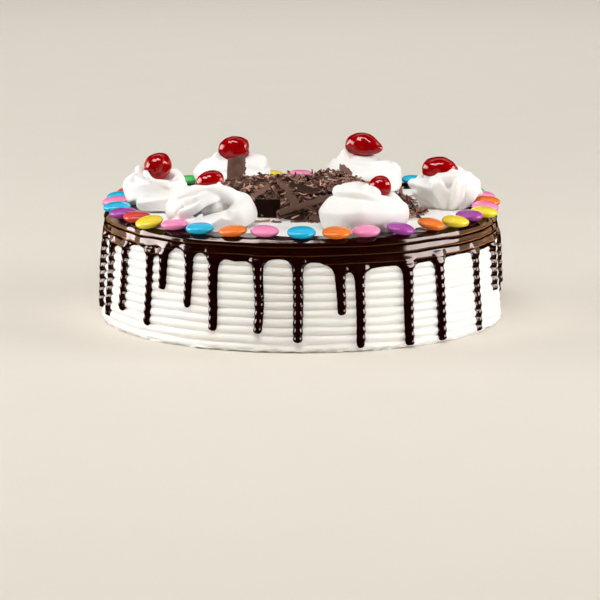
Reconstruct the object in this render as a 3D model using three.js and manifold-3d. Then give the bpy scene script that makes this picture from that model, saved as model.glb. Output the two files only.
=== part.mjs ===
// A black forest cake: a round cream-covered cake with a combed side, a chocolate glaze that runs
// over the rim in drips, a ring of sugar-coated candies, six piped cream rosettes, each with a
// glazed cherry, and a heap of chocolate shavings in the middle.
//
// Millimetres, +Z up. The origin is the middle of the underside, which rests on the table.
// The front looks along -Y. A bearing is an angle round the cake, in degrees: 0 is the front,
// 90 is the right (+X) and 180 is the back.

import * as THREE from "three";
import { ParametricGeometry } from "three/addons/geometries/ParametricGeometry.js";
import { mergeVertices } from "three/addons/utils/BufferGeometryUtils.js";
import Module from "manifold-3d";

const wasm = await Module();
wasm.setup();

// ---------------------------------------------------------------- driving dimensions

const GAP = 0.3; // clearance that keeps two touching pieces separate solids

const CAKE_HEIGHT = 53.8;
const BASE_RADIUS = 101.7; // out to the crests of the combed ridges, at the foot
const TOP_RADIUS = 98.2; // the side leans in a little towards the rim
const COMB_TEETH = 13; // ridges from the foot to the rim
const COMB_DEPTH = 1.0;
const CAKE_SIDES = 40;

const GLAZE_INNER_RADIUS = 85;
const GLAZE_THICKNESS = 0.8;
const DRIP_THICKNESS = 2.0;
const DRIP_EDGE = 0.4; // thickness at a drip's two edges
const DRIP_HALF_WIDTH = 2.2;
const DRIP_FILLET = 1.2; // how far the glaze flares out where a drip starts
const RIM_ROUNDING = 1.6;

const CANDY_COUNT = 36;
const CANDY_DIAMETER = 13.5;
const CANDY_THICKNESS = 5.2;
const CANDY_RING_RADIUS = 93.6;
const CANDY_SIDES = 10;

const ROSETTE_DEPTH = 17; // half its size along the cake's radius
const ROSETTE_WIDTH = 20.4; // half its size across that
const ROSETTE_HEIGHT = 21.5;
const ROSETTE_LOBES = 5; // points of the piping nozzle
const ROSETTE_TWIST = 1.5; // radians that the lobes turn from foot to top

const HEAP_RADIUS = 44;
const HEAP_HEIGHT = 12.5;
const HEAP_PEAK = { bearing: 149, radius: 36, height: 4, spread: 10 };

// Where the heap spills out between two rosettes, and where it has a hollow at the front.
const HEAP_BULGES = [
  { bearing: 92, reach: 13, spread: 22 },
  { bearing: 125, reach: 9, spread: 12 },
  { bearing: 152, reach: 5, spread: 14 },
  { bearing: 238, reach: 7, spread: 22 },
  { bearing: 335, reach: -10, spread: 14 },
];
const HEAP_BANK = { bearing: 240, steeper: 3, spread: 40 }; // the side that ends in a steep bank
const FLAKE_COUNT = 24;
const FLAKE_THICKNESS = 0.9;

// Each drip: its bearing, the height of its tip, and the height of the glaze's lower edge between
// it and the next one.
const DRIPS = [
  [-0.8, 5, 43],
  [11, 18, 39],
  [16.5, 2, 40],
  [31, 1, 40],
  [42.4, 1, 41],
  [59.5, 1, 40],
  [73, 17, 41],
  [87, 16, 43],
  [97, 8, 41],
  [107, 24, 44],
  [119, 5, 45],
  [131, 13, 41],
  [142, 3, 39],
  [155, 21, 42],
  [164, 8, 45],
  [176, 12, 43],
  [188, 4, 40],
  [199, 25, 42],
  [211, 9, 44],
  [222, 15, 46],
  [234, 6, 42],
  [246, 19, 40],
  [257, 8, 43],
  [267, 12, 42],
  [279, 6, 44],
  [289.7, 5, 41],
  [300, 11, 45],
  [312.5, 7, 42],
  [318, 26, 47],
  [327, 19, 46],
  [335, 9, 43],
  [348.3, 9, 45],
];

// One letter per candy, from the front round to the right, back and left.
const CANDY_ORDER = "bopuoyuypopgrybougpyrogbprbpburypbop";
const CANDY_CROWD = { bearing: 300, shift: 2.2, spread: 17 }; // set a little off the even spacing

// Candies that slipped: degrees further round, millimetres further out, and how many degrees they
// lean outwards and roll sideways.
const SLIPPED_CANDIES = {
  2: { out: 2 },
  3: { round: -1, out: 1.2 },
  4: { out: 2.4, lean: 9, roll: 7 },
  5: { round: 1.8, out: 0.6, lean: 9, roll: 7 },
  6: { round: 0.7, out: 3.2 },
  7: { round: 2, lean: 3, roll: 0 },
  8: { out: 2.5 },
  19: { out: -2.5 },
  20: { out: -2.5 },
  30: { round: 0.8, out: 1.5 },
  31: { round: -1 },
  32: { round: -0.6, out: 4.2, lean: 13, roll: -2 },
  33: { round: -1.2 },
  34: { round: -0.6, out: 1.2 },
  35: { out: 1 },
  36: { round: -1.1, out: -1.8 },
};
const CANDY_COLOURS = {
  b: ["blue", 0x29b4dc],
  g: ["green", 0x5cc46a],
  o: ["orange", 0xee7a28],
  p: ["pink", 0xf79ac6],
  r: ["red", 0xd9483c],
  u: ["purple", 0xa44fa0],
  y: ["yellow", 0xf2dc4a],
};

// Each rosette's bearing and distance from the middle, and its cherry: where it sits across and
// along the rosette and how high, its half length and half height, and where its tip points.
// One rosette is flared: it was piped straight down and widens over a narrow foot.
const ROSETTES = [
  { bearing: 27, ring: 68.5, across: 8.2, along: 0.6, high: 74.1, half: [5.4, 5.3], tip: 200 },
  { bearing: 91, ring: 70, across: 1, along: -0.4, high: 72.8, half: [9.1, 7], tip: 340, flared: true },
  { bearing: 152, ring: 69.5, across: 0, along: 0, high: 77.5, half: [9.8, 6.4], tip: 330 },
  { bearing: 211, ring: 69.5, across: -1.3, along: -0.8, high: 76, half: [8.2, 6.4], tip: 175 },
  { bearing: 270, ring: 70, across: 1, along: 2, high: 75.1, half: [6.9, 6.8], tip: 290 },
  { bearing: 323, ring: 68.5, across: -2.8, along: 0.4, high: 74.9, half: [7, 6.3], tip: 190 },
];

// ---------------------------------------------------------------- helpers

const TAU = 2 * Math.PI;
const radians = THREE.MathUtils.degToRad;
const lerp = THREE.MathUtils.lerp;

// A number from 0 to 1, from a seeded sequence.
let seed = 20;
function random() {
  seed = (seed + 0x6d2b79f5) | 0;
  let t = Math.imul(seed ^ (seed >>> 15), 1 | seed);
  t = (t + Math.imul(t ^ (t >>> 7), 61 | t)) ^ t;
  return ((t ^ (t >>> 14)) >>> 0) / 4294967296;
}
const between = (low, high) => lerp(low, high, random());

// The point at a bearing, a distance from the middle and a height.
function place(bearing, radius, z) {
  const angle = radians(bearing);
  return new THREE.Vector3(radius * Math.sin(angle), -radius * Math.cos(angle), z);
}

// The smaller angle between two bearings, in degrees.
const apart = (a, b) => Math.abs(((a - b + 540) % 360) - 180);

// Radius of the combed side's crests at a height.
const wallRadius = (z) => lerp(BASE_RADIUS, TOP_RADIUS, z / CAKE_HEIGHT);

// A body turned round the Z axis, from [radius, z] points that run from its foot to its top.
function turned(profile, sides) {
  const points = profile.map(([r, z]) => new THREE.Vector2(r, z));
  return new THREE.LatheGeometry(points, sides).rotateX(Math.PI / 2);
}

// A closed surface of rows by columns: at(u, v) gives its points, u going round and v upwards.
function surface(at, columns, rows) {
  return new ParametricGeometry((u, v, target) => target.copy(at(u, v)), columns, rows);
}

// Moves every point of a geometry.
function warp(geometry, move) {
  const position = geometry.attributes.position;
  const point = new THREE.Vector3();
  for (let i = 0; i < position.count; i++) {
    move(point.fromBufferAttribute(position, i));
    position.setXYZ(i, point.x, point.y, point.z);
  }
  return geometry;
}

function toSolid(geometry) {
  const bare = geometry.clone();
  bare.deleteAttribute("normal");
  bare.deleteAttribute("uv");
  const merged = mergeVertices(bare, 1e-4);
  return new wasm.Manifold(
    new wasm.Mesh({
      numProp: 3,
      vertProperties: merged.attributes.position.array,
      triVerts: new Uint32Array(merged.index.array),
    }),
  );
}

function toGeometry(solid) {
  const mesh = solid.getMesh();
  const geometry = new THREE.BufferGeometry();
  geometry.setAttribute("position", new THREE.BufferAttribute(mesh.vertProperties, 3));
  geometry.setIndex(new THREE.BufferAttribute(mesh.triVerts, 1));
  return geometry;
}

const matte = (color) => new THREE.MeshStandardMaterial({ color, roughness: 0.8, metalness: 0 });
const glossy = (color) => new THREE.MeshStandardMaterial({ color, roughness: 0.15, metalness: 0 });

const cake = new THREE.Group();
function addPiece(name, geometry, material) {
  const mesh = new THREE.Mesh(geometry, material);
  mesh.name = name;
  cake.add(mesh);
  return mesh;
}

// ---------------------------------------------------------------- the cake and its cream coat

// The comb leaves rounded ridges with sharp creases between them.
function creamCake() {
  const pitch = CAKE_HEIGHT / COMB_TEETH;
  const side = [];
  for (let tooth = 0; tooth < COMB_TEETH; tooth++) {
    const crease = tooth * pitch;
    const crest = crease + pitch / 2;
    side.push([wallRadius(crease) - COMB_DEPTH, crease], [wallRadius(crest), crest]);
  }
  side.push([TOP_RADIUS - COMB_DEPTH, CAKE_HEIGHT]);
  return turned([[0, 0], ...side, [0, CAKE_HEIGHT]], CAKE_SIDES);
}

// ---------------------------------------------------------------- the glaze

// The glaze is a ring of sections. Each column has a bearing, the height where it ends, and how
// thick it is below the collar: five columns for a drip and one for the arch to the next drip.
function glazeColumns() {
  const degreesPerMm = 360 / (TAU * BASE_RADIUS);
  const side = DRIP_HALF_WIDTH * degreesPerMm;
  const shoulder = (DRIP_HALF_WIDTH + DRIP_FILLET) * degreesPerMm;
  return DRIPS.flatMap(([bearing, tip, edgeAfter], i) => {
    const edgeBefore = DRIPS.at(i - 1)[2];
    const next = i + 1 < DRIPS.length ? DRIPS[i + 1][0] : DRIPS[0][0] + 360;
    return [
      { bearing: bearing - shoulder, end: edgeBefore - DRIP_FILLET, thick: GLAZE_THICKNESS },
      { bearing: bearing - side, end: tip + DRIP_HALF_WIDTH, thick: DRIP_EDGE },
      { bearing, end: tip, thick: DRIP_THICKNESS },
      { bearing: bearing + side, end: tip + DRIP_HALF_WIDTH, thick: DRIP_EDGE },
      { bearing: bearing + shoulder, end: edgeAfter - DRIP_FILLET, thick: GLAZE_THICKNESS },
      { bearing: (bearing + next) / 2, end: edgeAfter, thick: GLAZE_THICKNESS },
    ];
  });
}

// A section as [radius, z] points: under the glaze from its inner edge out and down to its end,
// then back up over its outer face.
function glazeSection({ end, thick }) {
  const bed = CAKE_HEIGHT + GAP;
  const rim = CAKE_HEIGHT - RIM_ROUNDING;
  const onWall = (share, thickness) => {
    const z = lerp(rim, end, share);
    return [wallRadius(z) + GAP + thickness, z];
  };
  return [
    [GLAZE_INNER_RADIUS, bed],
    [TOP_RADIUS + GAP, bed],
    onWall(1, 0),
    onWall(0.94, thick),
    onWall(0.4, thick),
    onWall(0.24, GLAZE_THICKNESS),
    onWall(0, GLAZE_THICKNESS),
    [TOP_RADIUS + GAP - RIM_ROUNDING, bed + GLAZE_THICKNESS],
    [GLAZE_INNER_RADIUS, bed + GLAZE_THICKNESS / 2],
  ];
}

function chocolateGlaze() {
  const columns = glazeColumns();
  const sections = columns.map(glazeSection);
  const points = sections[0].length;
  return surface(
    (u, v) => {
      const column = Math.round(u * columns.length) % columns.length;
      const [radius, z] = sections[column][Math.round(v * points) % points];
      return place(columns[column].bearing, radius, z);
    },
    columns.length,
    points,
  );
}

// The room that the glaze takes on top of the cake, which the rosettes are fitted over.
function glazeBed() {
  const top = CAKE_HEIGHT + GLAZE_THICKNESS + 2 * GAP;
  const inner = GLAZE_INNER_RADIUS - 3 * GAP;
  const ring = [
    [inner, 0],
    [BASE_RADIUS, 0],
    [BASE_RADIUS, top],
    [inner, top],
    [inner, 0],
  ];
  return toSolid(turned(ring, 2 * CAKE_SIDES));
}

// ---------------------------------------------------------------- the candies

// A lens with a rounded edge.
function candyShape() {
  const steps = 4;
  const profile = [];
  for (let i = 0; i <= steps; i++) {
    const angle = (i / steps - 0.5) * Math.PI;
    const radius = (CANDY_DIAMETER / 2) * Math.cos(angle) ** 0.9;
    profile.push([radius, (CANDY_THICKNESS / 2) * Math.sin(angle)]);
  }
  return turned(profile, CANDY_SIDES);
}

function addCandies() {
  const glazeTop = CAKE_HEIGHT + GLAZE_THICKNESS + 2 * GAP;
  [...CANDY_ORDER].forEach((letter, i) => {
    const settled = { round: 0, out: 0, lean: between(0, 7), roll: between(-3, 3) };
    const seat = { ...settled, ...SLIPPED_CANDIES[i + 1] };
    const even = (360 / CANDY_COUNT) * i + seat.round;
    const crowd = Math.exp(-((apart(even, CANDY_CROWD.bearing) / CANDY_CROWD.spread) ** 2));
    const bearing = even + CANDY_CROWD.shift * crowd + between(-0.25, 0.25);
    const turn = new THREE.Euler(radians(seat.lean), radians(seat.roll), 0);
    const geometry = candyShape()
      .applyMatrix4(new THREE.Matrix4().makeRotationFromEuler(turn))
      .rotateZ(radians(bearing));
    geometry.computeBoundingBox();
    const number = String(i + 1).padStart(2, "0");
    const [colour, hex] = CANDY_COLOURS[letter];
    const candy = addPiece(`candy_${number}_${colour}`, geometry, glossy(hex));
    const ring = CANDY_RING_RADIUS + seat.out;
    candy.position.copy(place(bearing, ring, glazeTop - geometry.boundingBox.min.z));
  });
}

// ---------------------------------------------------------------- the rosettes and cherries

// A cherry drawn out to a blunt tip along +X, grown by a clearance where it cuts the cream.
function cherryShape([length, height], grown) {
  const shape = new THREE.SphereGeometry(1, 12, 8).rotateX(Math.PI / 2);
  return warp(shape, (p) => {
    const drawn = 1 + 0.12 * Math.max(p.x, 0) ** 3;
    p.set(p.x * drawn * (length + grown), p.y * (height + grown), p.z * (height + grown));
  });
}

// Two soft tiers with twisted lobes, on a flat foot. [share of the width, share of the height].
const ROSETTE_PROFILE = [
  [0, 0],
  [0.88, 0],
  [1, 0.2],
  [0.95, 0.42],
  [0.75, 0.58],
  [0.72, 0.74],
  [0.5, 0.95],
  [0, 1],
];
const FLARED_PROFILE = [
  [0, 0],
  [0.5, 0],
  [0.58, 0.2],
  [0.86, 0.42],
  [0.96, 0.6],
  [0.8, 0.76],
  [0.5, 0.9],
  [0, 0.95],
];

function rosetteShape(phase, profile) {
  const rows = profile.length - 1;
  return surface(
    (u, v) => {
      const [reach, rise] = profile[Math.round(v * rows)];
      const angle = u * TAU;
      const lobes = Math.cos(ROSETTE_LOBES * (angle - rise * ROSETTE_TWIST + phase));
      const radius = reach * (0.97 + 0.07 * lobes);
      return new THREE.Vector3(
        ROSETTE_WIDTH * radius * Math.cos(angle),
        ROSETTE_DEPTH * radius * Math.sin(angle),
        ROSETTE_HEIGHT * rise,
      );
    },
    4 * ROSETTE_LOBES,
    rows,
  );
}

function addRosettes() {
  const bed = glazeBed();
  ROSETTES.forEach(({ bearing, ring, across, along, high, half, tip, flared }, i) => {
    const foot = place(bearing, ring, CAKE_HEIGHT + GAP);
    const outward = place(bearing, 1, 0);
    const sideways = place(bearing + 90, 1, 0);
    const seat = foot.clone().setZ(high).addScaledVector(outward, along).addScaledVector(sideways, across);
    const turnedTo = (shape) => shape.rotateZ(radians(tip)).translate(seat.x, seat.y, seat.z);

    const shape = rosetteShape(i, flared ? FLARED_PROFILE : ROSETTE_PROFILE);
    const cream = shape.rotateZ(radians(bearing)).translate(foot.x, foot.y, foot.z);
    const hollow = toSolid(turnedTo(cherryShape(half, GAP)));
    const fitted = toSolid(cream).subtract(bed).subtract(hollow);
    addPiece(`rosette_${i + 1}`, toGeometry(fitted), matte(0xf4f1ec));
    addPiece(`cherry_${i + 1}`, turnedTo(cherryShape(half, 0)), glossy(0xb00b0b));
  });
}

// ---------------------------------------------------------------- the shavings

// How far the heap reaches at a bearing.
function heapReach(bearing) {
  let reach = HEAP_RADIUS + 1.5 * Math.sin(radians(5 * bearing));
  for (const bulge of HEAP_BULGES) {
    reach += bulge.reach * Math.exp(-((apart(bearing, bulge.bearing) / bulge.spread) ** 2));
  }
  return reach;
}

// The heap's height over the cream, at a share of its reach. Its back is steeper than its front.
function heapRise(share, bearing) {
  const bank = Math.exp(-((apart(bearing, HEAP_BANK.bearing) / HEAP_BANK.spread) ** 2));
  const steepness = 3.6 - Math.cos(radians(bearing)) + HEAP_BANK.steeper * bank;
  const peak = place(HEAP_PEAK.bearing, HEAP_PEAK.radius, 0);
  const away = peak.distanceTo(place(bearing, share * heapReach(bearing), 0));
  const rise = HEAP_HEIGHT * Math.max(0, 1 - share ** steepness) ** 0.8 + 0.8;
  return rise + HEAP_PEAK.height * Math.exp(-((away / HEAP_PEAK.spread) ** 2));
}

function heapCore() {
  const shares = [0, 1, 1, 0.82, 0.6, 0.3, 0];
  const rows = shares.length - 1;
  return surface(
    (u, v) => {
      const row = Math.round(v * rows);
      const bearing = 360 * u;
      const rise = row < 2 ? 0 : heapRise(shares[row], bearing);
      return place(bearing, shares[row] * heapReach(bearing), CAKE_HEIGHT + GAP + rise);
    },
    28,
    rows,
  );
}

// A thin bent flake.
function flakeShape(length, width, bend) {
  const flat = new THREE.BoxGeometry(length, width, FLAKE_THICKNESS, 2, 1, 1);
  return warp(flat, (p) => {
    p.z += bend * (1 - (2 * p.x / length) ** 2);
  });
}

function scatteredFlakes() {
  const flakes = [];
  while (flakes.length < FLAKE_COUNT) {
    const bearing = between(0, 360);
    const share = Math.sqrt(random()) * 0.9;
    const rise = heapRise(share, bearing);
    const at = place(bearing, share * heapReach(bearing), CAKE_HEIGHT + GAP + rise);
    const tilt = [radians(between(-30, 30)), radians(between(-28, 28))];
    const turn = new THREE.Euler(...tilt, between(0, TAU), "ZYX");
    const length = share > 0.7 ? between(7, 9) : between(9, 14);
    const flake = flakeShape(length, between(3.5, 6), between(0.4, 1.6));
    flake.applyMatrix4(new THREE.Matrix4().makeRotationFromEuler(turn)).translate(at.x, at.y, at.z);
    flakes.push(flake);
  }
  return flakes;
}

// Part of a tube's wall, from one angle to another, standing on its end.
function curlShape(radius, from, to, length, grown) {
  const wall = new THREE.Shape();
  const outer = radius + grown;
  const inner = radius - FLAKE_THICKNESS - grown;
  const slack = grown / radius;
  wall.absarc(0, 0, outer, radians(from) - slack, radians(to) + slack, false);
  wall.absarc(0, 0, inner, radians(to) + slack, radians(from) - slack, true);
  const curl = new THREE.ExtrudeGeometry(wall, {
    depth: length + 2 * grown,
    bevelEnabled: false,
    curveSegments: 7,
  });
  return curl.translate(0, 0, -grown);
}

// The three large pieces on the heap, grown by a clearance where they cut it: a curl that stands
// upright, a roll that lies across the front, and a slab that leans on the heap beside it.
const BED = CAKE_HEIGHT + GAP;
const LARGE_PIECES = {
  chocolate_curl: (grown) =>
    curlShape(7.5, 230, 320, 14.2, grown).rotateX(radians(-8)).translate(-33.4, 26.5, BED + 8.7),
  chocolate_roll: (grown) =>
    curlShape(2.4, 0, 290, 30, grown)
      .rotateY(radians(78))
      .rotateZ(radians(25))
      .translate(-11, -41, BED + 3.3),
  chocolate_slab: (grown) =>
    new THREE.BoxGeometry(13 + 2 * grown, FLAKE_THICKNESS + 2 * grown, 9.6 + 2 * grown)
      .rotateZ(radians(-6))
      .rotateX(radians(8))
      .translate(-16.5, -31, BED + 4.9),
};

function addShavings() {
  let heap = toSolid(heapCore());
  for (const flake of scatteredFlakes()) heap = heap.add(toSolid(flake));
  for (const [name, shape] of Object.entries(LARGE_PIECES)) {
    heap = heap.subtract(toSolid(shape(GAP)));
    addPiece(name, shape(0), matte(0x4a2d24));
  }
  const underside = new THREE.BoxGeometry(300, 300, 100).translate(0, 0, BED - 50);
  const pieces = heap.subtract(toSolid(underside)).decompose();
  const [largest] = pieces.sort((a, b) => b.volume() - a.volume());
  addPiece("chocolate_shavings", toGeometry(largest), matte(0x4a2d24));
}

// ---------------------------------------------------------------- assembly

addPiece("cream_cake", creamCake(), matte(0xefebe4));
addPiece("chocolate_glaze", chocolateGlaze(), glossy(0x1c0805));
addShavings();
addCandies();
addRosettes();

export default cake;
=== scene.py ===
# %% [markdown]
# # A black forest cake
# The cake is 20 cm across: combed whipped cream, a dark chocolate glaze that drips down the
# side, a ring of sugar-coated candies, six piped rosettes with cherries and a heap of shavings.
# The plain solids of the part give every size and place. This notebook puts a finished piece
# over each of them, in the same frame: +Z up, the front towards -Y.

# %% The frame and the tools
import math

import bpy
import numpy as np
from mathutils import Euler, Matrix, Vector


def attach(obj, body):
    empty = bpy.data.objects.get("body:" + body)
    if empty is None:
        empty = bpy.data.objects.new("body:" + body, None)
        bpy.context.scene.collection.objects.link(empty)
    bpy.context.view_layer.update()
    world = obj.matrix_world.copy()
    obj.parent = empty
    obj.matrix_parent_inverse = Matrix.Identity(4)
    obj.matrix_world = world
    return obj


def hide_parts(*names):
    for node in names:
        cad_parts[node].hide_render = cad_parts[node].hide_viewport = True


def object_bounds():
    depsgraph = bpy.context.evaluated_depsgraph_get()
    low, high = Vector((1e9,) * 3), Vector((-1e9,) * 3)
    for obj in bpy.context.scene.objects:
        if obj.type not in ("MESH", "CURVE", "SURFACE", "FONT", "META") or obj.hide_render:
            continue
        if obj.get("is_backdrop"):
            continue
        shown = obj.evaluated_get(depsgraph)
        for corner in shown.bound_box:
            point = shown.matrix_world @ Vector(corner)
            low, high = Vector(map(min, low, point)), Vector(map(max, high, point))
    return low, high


MM = 0.001  # Blender works in metres, and the cake is easier to describe in millimetres
TAU = 2 * math.pi

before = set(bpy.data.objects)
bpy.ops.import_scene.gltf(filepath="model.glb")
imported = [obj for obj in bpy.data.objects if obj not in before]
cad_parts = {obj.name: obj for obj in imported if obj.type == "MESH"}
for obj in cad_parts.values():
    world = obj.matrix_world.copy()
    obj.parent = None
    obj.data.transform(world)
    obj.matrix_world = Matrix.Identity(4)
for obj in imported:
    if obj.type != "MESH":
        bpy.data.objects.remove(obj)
cad_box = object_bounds()


def mesh_points(piece):
    """The points of a piece's mesh, in millimetres."""
    vertices = piece.data.vertices
    points = np.empty(3 * len(vertices))
    vertices.foreach_get("co", points)
    return points.reshape(-1, 3) / MM


def node_points(node):
    """The corners of a plain solid, in millimetres."""
    return mesh_points(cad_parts[node])


def polar(bearing, distance):
    """The place at a bearing, in radians from the front, and a distance from the middle."""
    return distance * math.sin(bearing), -distance * math.cos(bearing)


nodes = sorted(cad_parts)
print(len(nodes), "plain solids, from", nodes[0], "to", nodes[-1])

# %% [markdown]
# ## The camera
# The cake is looked at from one and a half metres away with a long lens, so its ring of candies
# is a flat ellipse and its sides hardly narrow. The camera is aimed by its pitch alone.

# %% The camera
CAMERA_DISTANCE = 1559.9
CAMERA_HEIGHT = 305.3
CAMERA_SIDEWAYS = -0.45
CAMERA_PITCH = 0.1892  # radians below the horizon
LENS = 187.6

camera_data = bpy.data.cameras.new("camera")
camera_data.lens = LENS
camera = bpy.data.objects.new("camera", camera_data)
camera.location = (CAMERA_SIDEWAYS * MM, -CAMERA_DISTANCE * MM, CAMERA_HEIGHT * MM)
camera.rotation_euler = (math.pi / 2 - CAMERA_PITCH, 0, 0)
bpy.context.scene.collection.objects.link(camera)
bpy.context.scene.camera = camera
print("camera pitch", round(math.degrees(CAMERA_PITCH), 2), "degrees")

# %% [markdown]
# ## Tools for making meshes
# Nearly every piece here is a soft shape that a formula describes better than a primitive: a
# turned side, a sheet that is thicker in the middle, a swirl. So each is worked out as an array
# of points in rows and columns, and one helper turns such a grid into a mesh.


# %% Points to meshes
def grid_faces(rows, columns, closed=True):
    """Faces between neighbouring rows of points; closed joins the last column to the first."""
    row, column = np.meshgrid(np.arange(rows - 1), np.arange(columns - (not closed)), indexing="ij")
    after = (column + 1) % columns
    corners = [row * columns + column, row * columns + after]
    corners += [(row + 1) * columns + after, (row + 1) * columns + column]
    return np.stack(corners, axis=-1).reshape(-1, 4)


def cap_faces(columns, first, centre, reverse=False):
    """A fan from a ring of points to a centre point."""
    ring = first + np.arange(columns)
    after = first + (np.arange(columns) + 1) % columns
    fan = np.stack([ring, after, np.full(columns, centre)], axis=-1)
    return fan[:, ::-1] if reverse else fan


def make_piece(name, points, *face_lists):
    """A smooth mesh object from points in millimetres and arrays of faces."""
    faces = [face for faces in face_lists for face in faces.tolist()]
    mesh = bpy.data.meshes.new(name)
    mesh.from_pydata((np.asarray(points) * MM).tolist(), [], faces)
    mesh.validate()
    mesh.shade_smooth()
    piece = bpy.data.objects.new(name, mesh)
    bpy.context.scene.collection.objects.link(piece)
    return piece


def closed_tube(rings):
    """Points and faces of a closed body: rings of points, with both ends shut by a fan."""
    rows, columns = rings.shape[:2]
    ends = np.stack([rings[0].mean(axis=0), rings[-1].mean(axis=0)])
    points = np.concatenate([rings.reshape(-1, 3), ends])
    first = rows * columns
    bottom = cap_faces(columns, 0, first, reverse=True)
    top = cap_faces(columns, first - columns, first + 1)
    return points, grid_faces(rows, columns), np.concatenate([bottom, top])


# %% [markdown]
# ### Smooth irregularity
# Nothing on a hand-made cake is exact. A few dozen sine waves in random directions add up to
# smooth hills with a chosen size, which is quick for a whole array of points and is the same
# every time, because the random numbers are seeded.

# %% Smooth random hills
WAVES = 28  # how many sine waves add up to the hills


def hills(points, size, seed):
    """Smooth random heights over points, mostly from -1 to 1, with hills about size wide."""
    points = np.asarray(points, dtype=float)
    rng = np.random.default_rng(seed)
    directions = rng.normal(size=(WAVES, points.shape[-1]))
    directions /= np.linalg.norm(directions, axis=1, keepdims=True)
    lengths = 2 * size * rng.uniform(0.7, 1.6, WAVES)
    phases = rng.uniform(0, TAU, WAVES)
    total = np.zeros(points.shape[:-1])
    for direction, length, phase in zip(directions, lengths, phases):
        total += np.sin(points @ direction * TAU / length + phase)
    return total * math.sqrt(1.4 / WAVES)


def blend(edge0, edge1, x):
    """Goes smoothly from 0 at edge0 to 1 at edge1."""
    share = np.clip((x - edge0) / (edge1 - edge0), 0, 1)
    return share * share * (3 - 2 * share)


print("hills at three places:", hills([[0, 0], [5, 0], [9, 9]], 6, 1).round(2))

# %% [markdown]
# ## The cream coat
# A baker covers the cake with whipped cream and turns it against a toothed scraper, which
# leaves thirteen rounded ridges with sharp creases between them. It could be a plain cylinder
# with a bump map, but the ridges show in the outline and carry the glaze, so they are real.
#
# One function gives the point at an angle round the cake and a run, which is a distance over
# the surface: from the middle of the top outwards, over the rounded rim and down the side.
# The glaze is laid on the same function later.

# %% The cream's sizes
body = node_points("cream_cake")
HEIGHT = body[:, 2].max()
BASE_RADIUS = 101.7
TOP_RADIUS = 98.2
TEETH = 13
PITCH = HEIGHT / TEETH
COMB_DEPTH = 1.15
COMB_SHAKE = 0.045  # how far the comb strays up and down, as a share of the pitch
SLUMP = 0.25  # how far the side strays from a true cone
RIM_ROUND = 2.2
BEVEL = (math.radians(33), math.radians(72))  # where the rim's rounding is flat
TOP_RUN = TOP_RADIUS - RIM_ROUND
RIM_RUN = RIM_ROUND * math.pi / 2
SIDE_RUN = HEIGHT - RIM_ROUND
print("the cream is", round(HEIGHT, 1), "mm high, with a ridge every", round(PITCH, 2), "mm")


# %% The combed side
HILL_RING = 90.0  # radius of the ring on which the hills round the cake are laid


def ring_places(angle):
    """Places on a level ring, to read the hills at."""
    return np.stack([HILL_RING * np.sin(angle), -HILL_RING * np.cos(angle)], axis=-1)


def side_places(angle, z):
    """Places on the side, to read the hills at; stretching z makes them wider than high."""
    return np.stack([HILL_RING * np.sin(angle), -HILL_RING * np.cos(angle), z * 2.0], axis=-1)


def ridge_count(angle, z):
    """How many ridges lie below a height; the comb was not held quite still."""
    return z / PITCH + COMB_SHAKE * hills(side_places(angle, z), 14, 3)


def side_radius(angle, z, ridges=1.0, sag=0.0):
    """Radius of the side; ridges is the share of the comb's depth, and sag drops the crests."""
    around = side_places(angle, z)
    count = ridge_count(angle, z)
    combed = np.abs(np.sin(np.pi * count)) ** 0.75  # round crests with sharp creases
    hung = blend(0, 0.3, count % 1) * (1.15 - 0.9 * (count % 1))  # crests that hang like a saw's teeth
    wave = combed + (hung - combed) * sag
    depth = COMB_DEPTH * (1 + 0.22 * hills(around, 9, 4))
    crest = BASE_RADIUS + (TOP_RADIUS - BASE_RADIUS) * z / HEIGHT
    slump = SLUMP * hills(around, 30, 5)
    return crest + slump - depth * ridges * (1 - wave)


print("radius at mid height, to the front:", round(float(side_radius(0.0, HEIGHT / 2)), 1), "mm")


# %% A point on the cream
def on_cake(angle, run, lift=0.0, ridges=1.0, sag=0.0):
    """The point on the cream at an angle and a run over it, lifted off along the normal."""
    turn = np.clip((run - TOP_RUN) / RIM_RUN, 0, 1) * math.pi / 2
    down = np.clip(run - TOP_RUN - RIM_RUN, 0, None)
    across, up = np.sin(turn), np.cos(turn)
    start, stop = BEVEL
    bevelled = (turn > start) & (turn < stop)
    share = (turn - start) / (stop - start)
    across = np.where(bevelled, math.sin(start) + (math.sin(stop) - math.sin(start)) * share, across)
    up = np.where(bevelled, math.cos(start) + (math.cos(stop) - math.cos(start)) * share, up)
    z = HEIGHT - RIM_ROUND * (1 - up) - down
    side = side_radius(angle, z, ridges, sag) - TOP_RADIUS
    radius = np.clip(run, 0, TOP_RUN) + RIM_ROUND * across + side * turn / (math.pi / 2)
    radius = radius + lift * across
    z = z + lift * up
    return np.stack([radius * np.sin(angle), -radius * np.cos(angle), z], axis=-1)


# %% The coat of cream
COLUMNS = 600
TOP_UNEVEN = 0.25
FOOT_HEIGHT = 3.0
top_runs = np.linspace(2, TOP_RUN, 34)
rim_runs = TOP_RUN + np.linspace(0, RIM_RUN, 6)[1:]
side_runs = TOP_RUN + RIM_RUN + np.linspace(0, SIDE_RUN, TEETH * 9 - 1)[1:]
runs = np.concatenate([top_runs, rim_runs, side_runs])[::-1]
angle, run = np.meshgrid(np.arange(COLUMNS) * TAU / COLUMNS, runs)
coat = on_cake(angle, run)

# The spatula leaves the top a little uneven, and the cream's foot is rough on the table.
on_top = (run < TOP_RUN) * blend(TOP_RUN, TOP_RUN - 9, run)
coat[..., 2] += TOP_UNEVEN * hills(coat[..., :2], 12, 8) * on_top
foot = blend(FOOT_HEIGHT, 0.0, coat[..., 2])[..., None]
rough = hills(coat * (1, 1, 3), 2.6, 9)[..., None] * 0.5 - 0.25
coat[..., :2] *= 1 + foot * rough / BASE_RADIUS

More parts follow.
